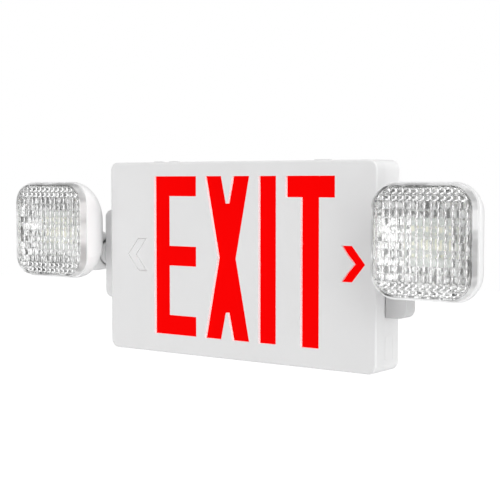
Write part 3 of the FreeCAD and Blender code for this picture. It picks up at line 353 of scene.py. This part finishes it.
# ---------------------------------------------------------------------------
# LEDs: small flat packages filled with pale yellow phosphor gel.  They are
# soldered on the strips in the tray and on the board in each lamp head.
# ---------------------------------------------------------------------------
def mottled(name, low, high, scale, detail, strength, distance, rough=0.5,
            stretch=(1, 1, 1), start=0.3, stop=0.7):
    """A finish whose colour and height follow one noise.  Gives the material and shader."""
    material, tree, shader = new_material(name)
    mottle = object_noise(tree, scale, detail, rough, stretch)
    tree.links.new(colour_between(tree, mottle.outputs["Fac"], low, high, start, stop),
                   shader.inputs["Base Color"])
    bump_from(tree, shader, mottle.outputs["Fac"], strength, distance)
    return material, shader


material, shader = mottled("phosphor_gel", (0.72, 0.71, 0.6), (0.8, 0.79, 0.68),
                           scale=900, detail=3, strength=0.2, distance=0.00005)
shader.inputs["Roughness"].default_value = 0.25
shader.inputs["Subsurface Weight"].default_value = 0.2
shader.inputs["Subsurface Radius"].default_value = (0.001, 0.0008, 0.0004)
dress(material, "right_lamp_leds", "left_lamp_leds", "sign_leds")


# ---------------------------------------------------------------------------
# Charger parts: varnished transformer laminations, aluminium capacitors in
# dark shrink sleeves, a moulded terminal block and the switch body.
# ---------------------------------------------------------------------------
def layered(name, low, high, pitch, roughness, metal, stretch=(0, 0, 1)):
    """Thin layers one on another: dark and light ones by turns, each a pitch thick, along
    the axis that the stretch leaves."""
    material, tree, shader = new_material(name)
    unit_layer = 0.31  # half the period of a diagonal wave at a scale of 1
    coord = tree.nodes.new("ShaderNodeTexCoord")
    place = tree.nodes.new("ShaderNodeMapping")
    place.inputs["Scale"].default_value = stretch
    wave = tree.nodes.new("ShaderNodeTexWave")
    wave.bands_direction = "DIAGONAL"
    wave.inputs["Scale"].default_value = unit_layer / pitch
    wave.inputs["Distortion"].default_value = 0.6
    tree.links.new(coord.outputs["Object"], place.inputs["Vector"])
    tree.links.new(place.outputs["Vector"], wave.inputs["Vector"])
    tree.links.new(colour_between(tree, wave.outputs["Fac"], low, high, start=0.2, stop=0.8),
                   shader.inputs["Base Color"])
    bump_from(tree, shader, wave.outputs["Fac"], strength=0.5, distance=0.0001)
    shader.inputs["Roughness"].default_value = roughness
    shader.inputs["Metallic"].default_value = metal
    return material


dress(layered("varnished_laminations", (0.16, 0.12, 0.09), (0.28, 0.24, 0.2),
              pitch=0.0007, roughness=0.42, metal=0.7), "transformer")
dress(layered("capacitor_sleeve", (0.02, 0.025, 0.07), (0.05, 0.06, 0.13),
              pitch=0.004, roughness=0.28, metal=0.0, stretch=(0, 1, 0)), "capacitors")
dress(moulded_plastic("black_nylon", (0.03, 0.032, 0.035), (0.05, 0.052, 0.055),
                      roughness=0.45, grain=1500), "terminal_block", "test_switch")

# ---------------------------------------------------------------------------
# Battery: three cells side by side in one blue shrink sleeve that is slightly
# puckered.  A steel strap holds it in the housing.
# ---------------------------------------------------------------------------
material, shader = mottled("shrink_sleeve", (0.02, 0.08, 0.3), (0.05, 0.16, 0.44),
                           scale=120, detail=4, rough=0.6, stretch=(1, 1, 0.25),
                           strength=0.5, distance=0.0003)
shader.inputs["Roughness"].default_value = 0.2
shader.inputs["Coat Weight"].default_value = 0.5
dress(material, "battery_pack")


# ---------------------------------------------------------------------------
# Screws, washers, nuts, pan pins and the battery strap: zinc-plated steel with
# a finely marked surface, drawn out along the strap by the rolls that made it.
# ---------------------------------------------------------------------------
def plated_steel(name, low, high, roughness, stretch=(1, 1, 1)):
    """Plated steel: fine marks in colour and surface, drawn out along an axis whose stretch
    is small."""
    material, shader = mottled(name, low, high, scale=700, detail=4, rough=0.6,
                               stretch=stretch, strength=0.25, distance=0.00004)
    shader.inputs["Roughness"].default_value = roughness
    shader.inputs["Metallic"].default_value = 1.0
    return material


zinc = plated_steel("zinc_screws", (0.5, 0.5, 0.5), (0.68, 0.68, 0.69), roughness=0.32)
dress(zinc, "board_screws", "strap_screws")
for side in ("right", "left"):
    dress(zinc, side + "_ear_screws", side + "_lamp_screws", side + "_tilt_washer",
          side + "_tilt_nut", side + "_pan_pin")
dress(plated_steel("strap_steel", (0.52, 0.52, 0.54), (0.66, 0.66, 0.67),
                   roughness=0.38, stretch=(0.1, 1, 1)), "battery_strap")


# ---------------------------------------------------------------------------
# Button spring: a coil of round plated wire between the button's flange and
# the switch.  It is drawn here in place of the CAD spring, filling its box.
# ---------------------------------------------------------------------------
def close_and_smooth(mesh, sharp_above):
    """Fill open ends, turn the faces outwards and smooth all edges up to an angle in degrees."""
    edit = bmesh.new()
    edit.from_mesh(mesh)
    bmesh.ops.holes_fill(edit, edges=[edge for edge in edit.edges if edge.is_boundary])
    bmesh.ops.recalc_face_normals(edit, faces=edit.faces)
    edit.to_mesh(mesh)
    edit.free()
    mesh.shade_smooth()
    mesh.set_sharp_from_angle(angle=math.radians(sharp_above))


low, high = [np.array(corner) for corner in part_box("button_spring")]
wire_radius, turns, travel = 0.0003, 4, 0.0018
steps_per_turn, wire_sides = 24, 10
coil_radius = (high[0] - low[0]) / 2 - wire_radius
middle = (low + high) / 2
# the wire's centre climbs at a steady rate: (r cos t, r sin t, rise t), and u goes round it
t = np.linspace(0, 2 * math.pi * turns, steps_per_turn * turns + 1)[:, None]
u = np.linspace(0, 2 * math.pi, wire_sides, endpoint=False)[None, :]
rise = (high[2] - low[2] - 2 * wire_radius) / (2 * math.pi * turns)
out_from_axis = coil_radius + wire_radius * np.cos(u)
points = np.stack([middle[0] + out_from_axis * np.cos(t), middle[1] + out_from_axis * np.sin(t),
                   low[2] + wire_radius + rise * t + wire_radius * np.sin(u)], -1)
wire = grid_mesh("pressed_spring", points, closed_columns=True)
close_and_smooth(wire, sharp_above=50)
coil = bpy.data.objects.new("pressed_spring", wire)
scene.collection.objects.link(coil)
coil.data.materials.append(plated_steel("spring_wire", (0.48, 0.48, 0.5), (0.6, 0.6, 0.62),
                                        roughness=0.3))
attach(coil, "housing")
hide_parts("button_spring")
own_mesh(coil)

# ---------------------------------------------------------------------------
# Test button and charge indicator: a push button of solid red plastic and a
# small light of clearer red plastic, side by side in the bottom wall.
# ---------------------------------------------------------------------------
for node, name, colour, clear in (
        ("test_button", "button_plastic", (0.55, 0.02, 0.02), 0.0),
        ("charge_indicator", "indicator_plastic", (0.7, 0.05, 0.03), 0.6)):
    material, shader = mottled(name, [part * 0.9 for part in colour], colour,
                               scale=300, detail=2, strength=0.1, distance=0.00003)
    shader.inputs["Roughness"].default_value = 0.25
    shader.inputs["Transmission Weight"].default_value = clear
    dress(material, node)

# ---------------------------------------------------------------------------
# Lamp head shells: gloss white moulded bowls with their horn-shaped necks, and
# the round collars that they turn on.
# ---------------------------------------------------------------------------
dress(moulded_plastic("head_plastic", off_white(0.83), off_white(0.86), roughness=0.3,
                      grain=1800, depth=0.00002), "right_head_shell", "left_head_shell")
dress(moulded_plastic("collar_plastic", off_white(0.84), off_white(0.88), roughness=0.5),
      "right_tilt_collar", "left_tilt_collar")

# ---------------------------------------------------------------------------
# Reflectors: thin plastic dishes with vapour-deposited aluminium.  They are
# wavy from moulding, and their colour is painted in dark grey and white
# patches as a painted reflection, so they shine in bright and dark patches
# from both.
# ---------------------------------------------------------------------------
material, shader = mottled("metallised_dish_painted_reflection", (0.25, 0.25, 0.25), (1.0, 1.0, 1.0),
                           scale=230, detail=3, start=0.42, stop=0.56,
                           strength=0.6, distance=0.002)
shader.inputs["Metallic"].default_value = 0.9
shader.inputs["Roughness"].default_value = 0.1
dress(material, "right_head_reflector", "left_head_reflector")


# ---------------------------------------------------------------------------
# Lenses: moulded clear polycarbonate covers with a drafted, finely frosted rim.
# Behind the smooth front stand upright flutes crossed by shallow rows, with two
# rows of short round pillows at the top and two at the bottom.
# ---------------------------------------------------------------------------
def rounded_square(a, b, half, corner):
    """Map the square grid a, b in -1..1 onto a rounded square: each point is drawn in along
    its ray, the outermost ones onto the outline, and the grid's middle stays square."""
    square_part = 0.7
    reach = np.maximum(np.abs(a), np.abs(b))
    safe = np.where(reach > 0, reach, 1)
    along = np.minimum(np.abs(a), np.abs(b)) / safe
    straight = half - corner
    # the ray (1, along) times k meets the arc about (straight, straight) where
    # k^2 (1 + along^2) - 2 k straight (1 + along) + 2 straight^2 - corner^2 = 0
    square, slope = 1 + along ** 2, straight * (1 + along)
    root = np.sqrt(np.maximum(slope ** 2 - square * (2 * straight ** 2 - corner ** 2), 0))
    factor = np.where(along * half > straight, (slope + root) / square / half, 1.0)
    t = np.clip((reach - square_part) / (1 - square_part), 0, 1)
    draw = 1 + (factor - 1) * t * t * (3 - 2 * t)
    return a * half * draw, b * half * draw


def lens_prisms(x, z):
    """Height of the prisms at x, z, where across and along run from -1 to 1 over each cell.
    A flute rises as the root of 1 - 0.97 across^2, and swells by 1 - along^2 leaned to one
    end.  A pillow in an outer row is 1 - 0.95 across^2 times 1 - 0.95 along^2."""
    flute_pitch, row_pitch, outer_pitch, outer_from = 0.0062, 0.0065, 0.0055, 0.0325
    flute_height, pillow_height = 0.0026, 0.003
    flute_round, pillow_round = 0.97, 0.95
    least_swell, more_swell, most_lean = 0.0005, 0.0006, 0.6
    column_step, row_step, lean_step = 12.9898, 78.233, 1.7
    first_outer_row = 20
    outer = np.abs(z) > outer_from
    row = np.where(outer, first_outer_row + (np.abs(z) - outer_from) / outer_pitch,
                   z / row_pitch)
    column = x / flute_pitch + 0.5
    across, along = 2 * (column - np.floor(column)) - 1, 2 * (row - np.floor(row)) - 1
    # no two cells of the flutes share a number, whose sines are the cell's swell and lean
    number = np.floor(column) * column_step + np.floor(row) * row_step
    own, lean = 0.5 + 0.5 * np.sin(number), most_lean * np.sin(lean_step * number)
    flute = flute_height * np.sqrt(1 - flute_round * across ** 2)
    swell = (least_swell + more_swell * own) * (1 - along ** 2) * (1 + lean * along)
    pillow = pillow_height * (1 - pillow_round * across ** 2) * (1 - pillow_round * along ** 2)
    return np.where(outer, pillow, flute + swell)


def lens_cover(name, body, node):
    """One closed lens: rings of the outline run from the flat front over the drafted rim and
    the skirt into the hollow, and a square grid of prisms closes the hollow's end."""
    low, high = [np.array(corner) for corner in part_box(node)]
    centre = (low + high) / 2
    # the back's half width and corner radius, and depths behind the front
    half_back, corner = (high[0] - low[0]) / 2, 0.0205
    front, flange, skirt = low[1], 0.0076, 0.0103
    # the prisms start an inset inside the back's outline and fade in over part of the grid
    count, prism_inset, prism_base, prism_fade = 213, 0.0037, 0.0022, 0.02
    line = np.linspace(-1, 1, count)
    a, b = np.meshgrid(line, line, indexing="ij")
    run, last = np.arange(count - 1), count - 1
    rows = np.concatenate([run, np.full(last, last), last - run, np.zeros(last, int)])
    columns = np.concatenate([np.zeros(last, int), run, np.full(last, last), last - run])
    border = rows * count + columns

    def ring(inset, depth):
        """Points of the back's outline drawn in by an inset, at a depth behind the front."""
        x, z = rounded_square(line[rows], line[columns], half_back - inset, corner - inset)
        return np.stack([centre[0] + x, np.full_like(x, front + depth), centre[2] + z], 1)

    # inset and depth of each ring: three round the front's edge, two on the flange at the
    # foot of the drafted side, two at the skirt's end and two down the hollow
    profile = [(0.0023, 0), (0.0018, 0.0002), (0.0015, 0.0007),
               (0, flange), (0.0012, flange), (0.0012, skirt), (0.0028, skirt),
               (0.0029, flange), (0.0036, 0.0024)]
    frosted_from, frosted_to = 2, 5
    rings = [ring(inset, depth) for inset, depth in profile]
    x, z = rounded_square(a, b, half_back - prism_inset, corner - prism_inset)
    fade = np.clip((1 - np.maximum(np.abs(a), np.abs(b))) / prism_fade, 0, 1)
    y = front + prism_base + lens_prisms(x, z) * fade
    field = np.stack([centre[0] + x, y, centre[2] + z], -1).reshape(-1, 3)
    size, start = len(border), len(rings) * len(border)
    levels = [level * size + np.arange(size) for level in range(len(rings))]
    levels.append(start + border)
    faces = [np.stack([here, np.roll(here, -1), np.roll(there, -1), there], 1)
             for here, there in zip(levels[:-1], levels[1:])]
    index = start + np.arange(count * count).reshape(count, count)
    faces.append(np.stack([index[:-1, :-1], index[1:, :-1], index[1:, 1:], index[:-1, 1:]],
                          -1).reshape(-1, 4))
    mesh = bpy.data.meshes.new(name)
    mesh.from_pydata(np.vstack(rings + [field]).tolist(), [],
                     np.vstack(faces).tolist() + [list(range(size))])
    # the drafted side, the flange and the outside of the skirt are frosted
    face = np.arange(len(mesh.polygons))
    frosted_face = (face >= frosted_from * size) & (face < frosted_to * size)
    mesh.polygons.foreach_set("material_index", frosted_face.astype(np.int32))
    mesh.update()
    close_and_smooth(mesh, sharp_above=35)
    cover = bpy.data.objects.new(name, mesh)
    scene.collection.objects.link(cover)
    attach(cover, body)
    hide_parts(node)
    return cover


clear, tree, shader = new_material("clear_polycarbonate")
haze = object_noise(tree, scale=500, detail=2)
tree.links.new(colour_between(tree, haze.outputs["Fac"], (0.985, 0.99, 0.985), (1, 1, 1)),
               shader.inputs["Base Color"])
shader.inputs["Roughness"].default_value = 0.03
shader.inputs["IOR"].default_value = 1.49
shader.inputs["Transmission Weight"].default_value = 1.0

frosted, tree, shader = new_material("frosted_rim")
blocks = object_noise(tree, scale=75, detail=1, stretch=(0.6, 0.2, 1))
tree.links.new(colour_between(tree, blocks.outputs["Fac"], (0.5, 0.5, 0.5), (0.86, 0.86, 0.86),
                              start=0.42, stop=0.58), shader.inputs["Base Color"])
spark = object_noise(tree, scale=2200, detail=2)
bump_from(tree, shader, spark.outputs["Fac"], strength=0.2, distance=0.00003)
shader.inputs["Roughness"].default_value = 0.35
shader.inputs["IOR"].default_value = 1.49
shader.inputs["Transmission Weight"].default_value = 0.35

for side in ("right", "left"):
    cover = lens_cover(side + "_prism_lens", side + "_head", side + "_head_lens")
    cover.data.materials.append(clear)
    cover.data.materials.append(frosted)
    # clear plastic passes the lamps' light to the dish instead of shading it
    cover.visible_shadow = False
